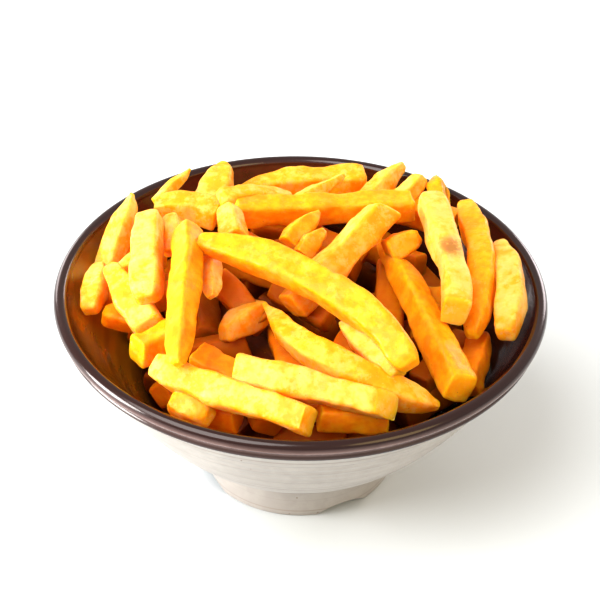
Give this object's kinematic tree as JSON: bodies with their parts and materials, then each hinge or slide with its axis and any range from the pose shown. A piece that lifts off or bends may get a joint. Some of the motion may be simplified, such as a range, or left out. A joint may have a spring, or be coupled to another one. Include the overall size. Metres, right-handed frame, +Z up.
{
  "type": "french fries portion",
  "caption": "Heaped portion of thick-cut french fries in a footed stoneware bowl with a dark glazed inside and lip.",
  "frame": {"origin": "centre of the foot ring's underside, where the bowl stands on the table", "axes": "+Z up along the bowl's axis, -Y towards the side with the long fries lying across the front"},
  "size_m": [0.16, 0.16, 0.0953],
  "materials": {
    "bowl_glaze": "glossy off-white glaze with fine throwing rings outside, glossy dark brown glaze on the lip band and inside",
    "fries": "golden yellow fried potato, slightly oily, blistered, browned at the edges and ends"
  },
  "bodies": {
    "root": {"bowl": "bowl_glaze", "fries_heap": "fries"}
  },
  "joints": []
}
